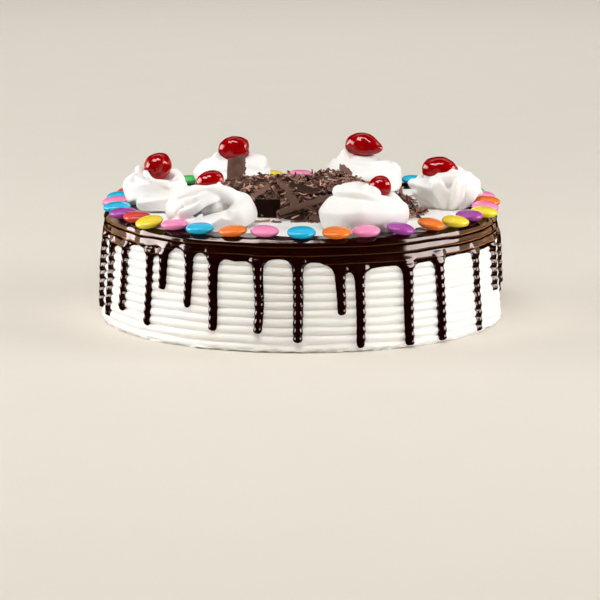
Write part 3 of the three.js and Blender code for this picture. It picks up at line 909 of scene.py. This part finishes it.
# %% Adding a flake to the heap
# Painted highlight: a flake's thin rim is painted paler, as where its edge catches the light.
RIM_HIGHLIGHT = 0.2  # a flake's thin rim is paler than its face
TALLEST = 3.6  # a loose flake that would stand taller is left out
point_lists, face_lists = [core_points], [core_walls]
# The core is painted nearly black, a painted shade for the gaps between the flakes.
shades = [np.full(len(core_caps) + len(core_walls), 0.05)]


def add_flake(parts, place, turned, tone, tallest=math.inf):
    """Turns a flake, lays it over the heap's slope and adds it, unless it would stand too tall."""
    points, faces, rim = parts
    points = points @ turned.T
    if np.ptp(points[:, 2]) > tallest:
        return
    points[:, :2] += place[:2]
    slope = 0.75 * heap_rise(points[:, 0], points[:, 1]) + 0.25 * heap_rise(*place[:2])
    points[:, 2] += BED + place[2] + slope
    points[:, 2] = np.maximum(points[:, 2], BED)
    face_lists.append(faces + sum(len(points) for points in point_lists))
    point_lists.append(points)
    shades.append(RIM_HIGHLIGHT * rim + tone)


# %% The flakes of the heap
# How many, then the usual length, width and curl, and how far they stick out of the heap.
KINDS = [
    (1500, 3.6, 0.6, 6, 0.9),
    (620, 4.6, 1.3, 6, 0.7),
    (150, 8.5, 2.6, 7, 0.3),
]
SPREAD = 0.4
DEEPEST = 2.2  # how far below the heap's surface a flake may lie
# Painted shadow: flakes near this place beside the roll are darkened.
ROLL_SHADOW_PATCH = (4, -38, 10)  # x, y and spread of the dark place beside the roll
rng = np.random.default_rng(41)
for count, usual_length, usual_width, usual_curl, stand in KINDS:
    for _ in range(count):
        bearing, share = rng.uniform(-math.pi, math.pi), math.sqrt(rng.uniform(0, 1)) * 0.98
        reach = share * float(reach_at(bearing))
        place = (*polar(bearing, reach), rng.uniform(-DEEPEST, stand))
        # Painted shade: a flake is darker the lower it lies in the heap and where random dim patches fall.
        in_light = 0.15 + 0.85 * blend(-0.5, 0.5, hills(place[:2], 2.6, 43))
        away = math.dist(place[:2], ROLL_SHADOW_PATCH[:2]) / ROLL_SHADOW_PATCH[2]
        in_light = in_light * (1 - 0.75 * math.exp(-(away**2)))
        tone = rng.beta(0.6, 0.9) * 0.68 * (place[2] + DEEPEST) * in_light
        tilt = np.clip(rng.normal(0, 18, 2), -38, 38)
        curl = usual_curl * rng.lognormal(0, 0.5) * rng.choice([-1, 1])
        length = usual_length * rng.lognormal(0, SPREAD)
        parts = flake(rng, length, usual_width * rng.lognormal(0, SPREAD), curl)
        if is_clear(*place[:2]):
            add_flake(parts, place, turning(*tilt, rng.uniform(0, 360)), tone, TALLEST)
print(len(point_lists) - 1, "flakes on the heap")

# %% The spills
SPILLS = [((52, -34), (58, -12), 110), ((50, 34), (59, 15), 40)]  # from, to, and how many
SPILL_WIDTH = 2.3
for start, stop, count in SPILLS:
    for _ in range(count):
        x, y = np.add(start, rng.uniform(0, 1) * np.subtract(stop, start)) + rng.normal(0, SPILL_WIDTH, 2)
        parts = flake(rng, 4 * rng.lognormal(0, SPREAD), 1.2 * rng.lognormal(0, SPREAD), 6)
        if is_clear(x, y):
            turned = turning(*rng.normal(0, 16, 2), rng.uniform(0, 360))
            add_flake(parts, (x, y, rng.uniform(0.2, 1.4)), turned, rng.beta(0.6, 1.2), TALLEST)
print(len(point_lists) - 1, "flakes with the spills")

# %% Single flakes
# Place, then length, width and curl, then the turns round X, Y and Z, and how pale it is.
SINGLE = [
    ((23, 30, 2.5), (7, 4, 12), (70, 10, 20), 0.25),
    ((30, 31, 1.5), (6, 2.4, 8), (60, -20, 60), 0.3),
    ((51, 22, 3.5), (9, 3.4, 3.5), (0, 78, 20), 0.55),
    ((55, 12, 1), (8, 2.6, 6), (20, 25, 70), 0.5),
    ((60, -14, 0.3), (8, 1.2, 30), (0, 0, 10), 0.2),
    ((49, -20, 0.4), (6, 2, 9), (10, 8, 50), 0.3),
    ((-20, -42, 0.3), (10, 1.8, 30), (0, 0, 5), 0.5),
    ((-12, -44.5, 0.3), (5, 1.6, 20), (0, 0, -25), 0.1),
    ((-1, -45, 0.4), (8, 2.2, 20), (10, 0, 14), 0.1),
    ((9, -43, 0.6), (10, 2.6, 14), (15, 0, 8), 0.15),
    ((-7, -16, 1.4), (13, 3.6, 30), (12, 4, -48), 0.2),
    ((2, -22, 1.6), (19, 4.4, 30), (18, 2, -34), 0.03),
    ((22, -17, 1.6), (20, 3.6, 26), (14, -4, 24), 0.16),
    ((-22, -22, 1.5), (15, 3.4, 24), (10, -6, 40), 0.24),
    ((-4, -31, 1.8), (13, 3, 20), (30, 12, -60), 0.12),
]
SINGLE_THICKNESS = 0.6
for place, (length, width, curl), turns, tone in SINGLE:
    add_flake(flake(rng, length, width, curl, SINGLE_THICKNESS), place, turning(*turns), tone)
print(len(SINGLE), "single flakes")

# %% Crumbs round the foot
CRUMBS = 150
for _ in range(CRUMBS):
    bearing = rng.uniform(-math.pi, math.pi)
    reach = float(reach_at(bearing)) + abs(rng.normal(0, 1.6))
    place = (*polar(bearing, reach), 0.15)
    parts = flake(rng, rng.uniform(0.7, 2.4), rng.uniform(0.5, 1.2), 4)
    if is_clear(*place[:2]):
        add_flake(parts, place, turning(z=rng.uniform(0, 360)), rng.uniform(0.1, 0.4))

# %% One mesh of the whole heap
SHARP = math.radians(40)  # edges that turn more than this keep a crease


def give_shade(piece, values):
    """Stores how pale each face of a piece is, for its material to read."""
    shade = piece.data.attributes.new("shade", "FLOAT", "FACE")
    shade.data.foreach_set("value", values)


heap = make_piece("shaved_chocolate", np.concatenate(point_lists), core_caps, *face_lists)
heap.data.set_sharp_from_angle(angle=SHARP)
give_shade(heap, np.concatenate(shades))
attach(heap, "root")
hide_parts("chocolate_shavings")
print(heap.name, "has", len(heap.data.polygons), "faces")

# %% [markdown]
# ### The three large pieces
# A curl stands upright at the back left, a long roll lies across the front, and a slab leans in
# the hollow beside it. All three are parts of a tube's wall with a torn edge; the slab's tube
# is so wide that it is nearly flat.


# %% Part of a tube's wall
WALL = 0.85
WALL_ROWS, WALL_COLUMNS = 26, 28


def tube_wall(rng, radius, start, stop, length, tear, slant=0.0):
    """Part of a tube's wall along +Z; its last edge is torn, and slant lowers its first corner."""
    up, round_it = np.linspace(0, 1, WALL_ROWS), np.linspace(0, 1, WALL_COLUMNS)
    rise, turn = np.meshgrid(up, round_it, indexing="ij")
    torn = tear / radius * rng.uniform(0, 1, (WALL_ROWS, 1)) * turn**8
    angle = math.radians(start) + math.radians(stop - start) * turn - torn
    angle = angle + 0.4 * slant / radius * rise * (1 - turn)  # a slanted edge also leans in
    uneven = 1 + rng.uniform(-0.02, 0.02, (1, WALL_COLUMNS))
    z = length * rise * uneven - slant * rise * (1 - turn)
    wavy = 0.15 * hills(np.stack([radius * angle, z], axis=-1), 3, 60)
    walls = []
    for reach in (radius + wavy, radius - WALL + wavy):
        walls.append(np.stack([reach * np.cos(angle), reach * np.sin(angle), z], axis=-1))
    return sheet(walls[0], walls[1])


# %% Curl, roll and slab
rng = np.random.default_rng(50)
curl_points, curl_faces, curl_rim = tube_wall(rng, 7.5, 232, 318, 14.2, 1.2, 1.8)
curl_points = curl_points @ turning(x=-8).T + (-33.4, 26.5, BED + 8.8)
roll_points, roll_faces, roll_rim = tube_wall(rng, 2.4, 4, 286, 29.6, 0.8)
roll_points = roll_points @ turning(y=78, z=25).T + (-11, -41, BED + 3.3)
slab_points, slab_faces, slab_rim = tube_wall(rng, 60, -6, 6.2, 9.6, 0.6)
slab_points = (slab_points - (59.6, 0, 4.8)) @ turning(z=-96).T @ turning(x=8).T
slab_points += (-16.5, -31, BED + 4.9)

# Painted highlight: the torn rims of the curl, roll and slab are painted paler.
LARGE_RIM_HIGHLIGHT = 0.15
large_pieces = []
for node, tone, points, faces, rim in (
    ("chocolate_curl", 0.2, curl_points, curl_faces, curl_rim),
    ("chocolate_roll", 0.14, roll_points, roll_faces, roll_rim),
    ("chocolate_slab", 0.0, slab_points, slab_faces, slab_rim),
):
    piece = make_piece("shaved_" + node.split("_")[1], points, faces)
    give_shade(piece, tone + LARGE_RIM_HIGHLIGHT * rim)
    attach(piece, "root")
    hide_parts(node)
    large_pieces.append(piece)
print("large pieces:", [piece.name for piece in large_pieces])

# %% [markdown]
# ## Materials
# The finish is half of what makes food look right. Every material is worked out from noise in
# the object's own space, so nothing needs unwrapping and the detail has a real size.
#
# The small class below wraps a socket. Python's own operators on it add the Math nodes, so a
# formula reads as a formula, and one method adds any other node.


# %% A socket that can be calculated with
class Wire:
    """A value on its way through a material."""

    def __init__(self, tree, socket=None):
        self.tree = tree
        self.socket = socket

    def node(self, kind, settings=None, inputs=None, output=0):
        """Adds a node: its settings first, then the values or links of its sockets."""
        made = self.tree.nodes.new("ShaderNode" + kind)
        for name, value in (settings or {}).items():
            setattr(made, name, value)
        for name, value in (inputs or {}).items():
            if isinstance(value, Wire):
                self.tree.links.new(value.socket, made.inputs[name])
            else:
                made.inputs[name].default_value = value
        return Wire(self.tree, made.outputs[output])

    def math(self, operation, *values):
        """The result of a Math node's operation on values."""
        return self.node("Math", {"operation": operation}, dict(enumerate(values)))

    def __add__(self, other):
        return self.math("ADD", self, other)

    def __sub__(self, other):
        return self.math("SUBTRACT", self, other)

    def __rsub__(self, other):
        return self.math("SUBTRACT", other, self)

    def __mul__(self, other):
        return self.math("MULTIPLY", self, other)

    __radd__ = __add__
    __rmul__ = __mul__

    def mix(self, low, high):
        """A colour between low and high, by this value."""
        return self.node("Mix", {"data_type": "RGBA"}, {"Factor": self, 6: low, 7: high}, output=2)


# %% Starting and finishing a material
def new_material(name):
    """A new material, and a wire to build it from."""
    material = bpy.data.materials.new(name)
    material.use_nodes = True
    material.node_tree.nodes.clear()
    print("material:", name)
    return material, Wire(material.node_tree)


def finish_material(wire, numbers, **changing):
    """Ends a material in a Principled shader: plain numbers, and what changes over the surface."""
    inputs = dict(numbers)
    for name, value in changing.items():
        inputs[name.replace("_", " ")] = value
    shader = wire.node("BsdfPrincipled", {}, inputs)
    output = wire.tree.nodes.new("ShaderNodeOutputMaterial")
    wire.tree.links.new(shader.socket, output.inputs["Surface"])


def noise(wire, size, detail=3.0, roughness=0.5, stretch=(1, 1, 1)):
    """Noise from 0 to 1 with features of a size in millimetres."""
    where = wire.node("TexCoord", output=3)
    scaled = wire.node("VectorMath", {"operation": "MULTIPLY"}, {0: where, 1: stretch})
    inputs = {"Vector": scaled, "Scale": 1 / (size * MM), "Detail": detail, "Roughness": roughness}
    return wire.node("TexNoise", {}, inputs)


def bump(wire, height, distance, strength):
    """A normal from a height from 0 to 1, where 1 stands out by a distance in millimetres."""
    return wire.node("Bump", {}, {"Strength": strength, "Distance": distance * MM, "Height": height})


def coat_with(pieces, material):
    """Gives pieces a material."""
    for piece in pieces:
        piece.data.materials.clear()
        piece.data.materials.append(material)


# %% [markdown]
# ### Whipped cream
# Cream is white but lets light in, so its shadows stay bright and its creases look soft. A
# little subsurface scattering gives that. Fine noise in the bump is the texture of the foam.
# The piped cream is the same cream painted a shade darker, a painted shade that keeps the brightly lit
# rosettes from washing out.

# %% Whipped cream
CREAM_TINTS = ((0.90, 0.88, 0.85), (0.93, 0.915, 0.89))
cream_numbers = {
    "Roughness": 0.42,
    "Subsurface Weight": 0.35,
    "Subsurface Radius": (1.0, 0.75, 0.55),
    "Subsurface Scale": 2.2 * MM,
    "Specular IOR Level": 0.22,
}
# The rosettes get a copy of the cream painted 0.955 as bright: painted shade against the strong light on
# them.
for name, pieces, brightness in (("whipped_cream", [cream], 1.0), ("piped_cream", rosettes, 0.955)):
    cream_finish, wire = new_material(name)
    low, high = (tuple(brightness * part for part in tint) for tint in CREAM_TINTS)
    finish_material(
        wire,
        cream_numbers,
        Base_Color=noise(wire, 14, 2.0).mix((*low, 1), (*high, 1)),
        Normal=bump(wire, noise(wire, 1.1, 4.0, 0.6), 0.12, 0.5),
    )
    coat_with(pieces, cream_finish)

# %% [markdown]
# ### Dark chocolate glaze
# The glaze is nearly black and very shiny, and its shine is a little red like the chocolate.
# Over the crests of the ridges a warm brown line is painted, partly where the glaze is thin and partly a
# painted highlight, strongest at the sides.

# %% Dark chocolate glaze
glaze_finish, wire = new_material("chocolate_glaze")
streaks = noise(wire, 9, 3.0, 0.5, (1, 1, 2.5))
ridges_below = wire.node("Attribute", {"attribute_name": "ridges"}, output=2)
thinness = wire.node("Attribute", {"attribute_name": "thinness"}, output=2)
from_crest = wire.math("PINGPONG", ridges_below - 0.3, 0.5)  # 0 on a line just below each crest
# The crest line is painted colour: thin glaze together with a painted highlight of the side lights.
crest_sheen_line = thinness * wire.math("MAXIMUM", 1 - 9 * from_crest, 0.0)
dark = streaks.mix((0.006, 0.0006, 0.0004, 1), (0.015, 0.0014, 0.0007, 1))
finish_material(
    wire,
    {"Specular IOR Level": 0.66, "Specular Tint": (1.0, 0.80, 0.74, 1)},
    Base_Color=crest_sheen_line.mix(dark, (0.40, 0.17, 0.05, 1)),
    Roughness=0.08 + 0.1 * noise(wire, 5, 2.0),
    Normal=bump(wire, noise(wire, 3.2, 2.0), 0.06, 0.5),
)
coat_with([glaze], glaze_finish)

# %% [markdown]
# ### Sugar shells
# A candy's shell is sugar polished with wax: smooth, slightly mottled and softly shiny. Seven
# colours share this one recipe in a loop, so a change to the shine changes every candy.

# %% Sugar shells
CANDY_COLOURS = {
    "blue": (0.012, 0.50, 0.80),
    "green": (0.09, 0.54, 0.13),
    "orange": (0.90, 0.20, 0.015),
    "pink": (0.96, 0.28, 0.52),
    "red": (0.72, 0.06, 0.04),
    "purple": (0.40, 0.065, 0.38),
    "yellow": (0.93, 0.74, 0.04),
}
for colour, shell in CANDY_COLOURS.items():
    shell_finish, wire = new_material("sugar_shell_" + colour)
    mottle = noise(wire, 2.4, 4.0, 0.6)
    darker = tuple(0.78 * part for part in shell)
    finish_material(
        wire,
        {
            "Roughness": 0.26,
            "Specular IOR Level": 0.4,
            "Subsurface Weight": 0.1,
            "Subsurface Radius": (1, 1, 1),
            "Subsurface Scale": 0.8 * MM,
        },
        Base_Color=mottle.mix((*darker, 1), (*shell, 1)),
        Normal=bump(wire, noise(wire, 1.6, 3.0), 0.05, 0.4),
    )
    coat_with([candy for candy in candies if candy.name.endswith(colour)], shell_finish)

# %% [markdown]
# ### Glazed cherries
# A cherry is clear red flesh under syrup. A rough surface would show one pale patch, so this one
# is smooth, and its fine bumps break each highlight up. The flesh is darker in some places.

# %% Glazed cherries
cherry_finish, wire = new_material("glazed_cherry")
flesh = noise(wire, 4.5, 3.0)
finish_material(
    wire,
    {
        "Roughness": 0.08,
        "Subsurface Weight": 0.1,
        "Subsurface Radius": (1.0, 0.05, 0.03),
        "Subsurface Scale": 1.0 * MM,
        "Specular IOR Level": 0.42,
    },
    Base_Color=flesh.mix((0.21, 0.0, 0.001, 1), (0.42, 0.0, 0.001, 1)),
    Normal=bump(wire, noise(wire, 2.5, 2.0), 0.08, 0.5),
)
coat_with(cherries, cherry_finish)

# %% [markdown]
# ### Shaved chocolate
# Shaved chocolate is dull, because the blade leaves a rough face. One material does for all of
# it: the shade that was stored for every face runs from nearly black to pale brown, and holds
# painted shade and painted highlights as well as the chocolate's own tones.

# %% Shaved chocolate
shaving_finish, wire = new_material("shaved_chocolate")
shade_wire = wire.node("Attribute", {"attribute_name": "shade"}, output=2)
grain = noise(wire, 0.8, 4.0, 0.6)
tone = shade_wire * (0.6 + 0.7 * grain)
finish_material(
    wire,
    {"Specular IOR Level": 0.12, "Specular Tint": (1.0, 0.7, 0.55, 1)},
    Base_Color=tone.mix((0.006, 0.001, 0.0004, 1), (0.68, 0.38, 0.28, 1)),
    Roughness=0.5 + 0.25 * grain,
    Normal=bump(wire, noise(wire, 0.6, 3.0), 0.12, 0.6),
)
coat_with([heap, *large_pieces], shaving_finish)

# %% [markdown]
# ## Floor and light
# A plain pale floor runs far past the view. Two soft boxes stand left and right of the cake,
# a little above it, and reflections don't see them. A taller box at each, which only reflections
# see, gives the bright bands on the glaze's ridges and the patches on each cherry, without more
# light on the cream. A third one like it at the upper left puts a spot on the candies and
# cherries. A box high over the cake draws the thin line along the glaze's rim and lights the
# top, and a small one high on the right fills the back. A wide weak one in front opens the
# shadows, and one over the floor behind the cake keeps it pale up to the horizon.
#
# Chocolate looks rich only if most of what it mirrors is dark. So the front light, the floor
# and the faint light from all round are hidden from reflections, and two warm cards behind
# the cake, which only reflections see, turn the ends of the glaze brown. The brightness of a
# light is what a white card at the cake would show in its light alone.


# %% One soft box
AIM_HEIGHT = 0.05  # metres over the table


def soft_box(name, bearing, elevation, distance, size, brightness, colour=(1, 1, 1)):
    """An area light aimed at the cake from a bearing round it, in metres and degrees."""
    light = bpy.data.lights.new(name, "AREA")
    light.shape = "RECTANGLE"
    light.size, light.size_y = size
    light.energy = (math.pi * distance) ** 2 * brightness
    light.color = colour
    lamp = bpy.data.objects.new(name, light)
    turn, rise = math.radians(bearing), math.radians(elevation)
    away = (math.sin(turn) * math.cos(rise), -math.cos(turn) * math.cos(rise), math.sin(rise))
    lamp.location = [distance * part for part in away]
    lamp.location[2] += AIM_HEIGHT
    lamp.rotation_euler = (math.pi / 2 - rise, 0, turn)
    lamp.visible_camera = False
    bpy.context.scene.collection.objects.link(lamp)
    return lamp


# %% The lights
NEAR = 1.2  # metres from the cake
for side, bearing, width in (("left", -94, 0.84), ("right", 82, 0.88)):
    box = soft_box(side + "_box", bearing, 12, NEAR, (width, 0.36), 0.75)
    box.visible_glossy = False
    shine = soft_box(side + "_shine", bearing, 13, NEAR, (width, 0.60), 1.15)
    shine.visible_diffuse = False
upper_shine = soft_box("upper_shine", -58, 50, NEAR, (0.64, 0.36), 0.6)
upper_shine.visible_diffuse = False
soft_box("top_box", -18, 67, NEAR, (0.72, 0.26), 0.56)
soft_box("high_right_box", 97, 48, NEAR, (0.40, 0.26), 0.07)
front_fill = soft_box("front_fill", 6, 42, 2.2, (2.0, 1.2), 0.22, (1.0, 0.94, 0.86))
front_fill.visible_glossy = False
for side in (-1, 1):
    card = soft_box("warm_card", 129 * side, 6, 2.0, (1.8, 0.7), 0.12, (1.0, 0.64, 0.40))
    card.visible_diffuse = False

floor_lamp = soft_box("floor_light", 180, 40, 2.2, (3.0, 1.6), 0.29)
floor_lamp.location = (0, 1.5, 1.5)  # behind the cake, and it shines straight down
floor_lamp.rotation_euler = (0, 0, 0)
floor_lamp.data.spread = math.radians(100)
print(len(bpy.data.lights), "lights")

# %% The faint light from all round
world = bpy.data.worlds.new("studio")
world.use_nodes = True
background = world.node_tree.nodes["Background"]
background.inputs["Color"].default_value = (0.92, 0.9, 0.86, 1)
background.inputs["Strength"].default_value = 0.08
world.cycles_visibility.glossy = False
bpy.context.scene.world = world
print("the world's strength is", round(background.inputs["Strength"].default_value, 2))

# %% The floor
FLOOR_RADIUS = 9000
FLOOR_CORNERS = 64
BELOW = 0.05  # the floor lies this far under the cake's underside
turn = np.arange(FLOOR_CORNERS) * TAU / FLOOR_CORNERS
edge = np.column_stack([np.cos(turn), np.sin(turn), np.zeros(FLOOR_CORNERS)]) * FLOOR_RADIUS
disc = np.concatenate([edge, [[0, 0, 0]]]) - (0, 0, BELOW)
floor = make_piece("floor", disc, cap_faces(FLOOR_CORNERS, 0, FLOOR_CORNERS))
floor_finish, wire = new_material("pale_floor")
finish_material(
    wire,
    {"Roughness": 0.7, "Specular IOR Level": 0.2},
    Base_Color=noise(wire, 60, 2.0).mix((0.72, 0.67, 0.59, 1), (0.74, 0.69, 0.61, 1)),
)
coat_with([floor], floor_finish)
floor.visible_glossy = False
floor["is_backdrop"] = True
bpy.context.scene.view_settings.view_transform = "Standard"

# %% Sizes and the end
visual_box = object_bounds()
sizes = {"cad": [list(corner) for corner in cad_box], "visual": [list(corner) for corner in visual_box]}
for name, box in sizes.items():
    print(name, "box in mm:", [[round(part / MM, 1) for part in corner] for corner in box])
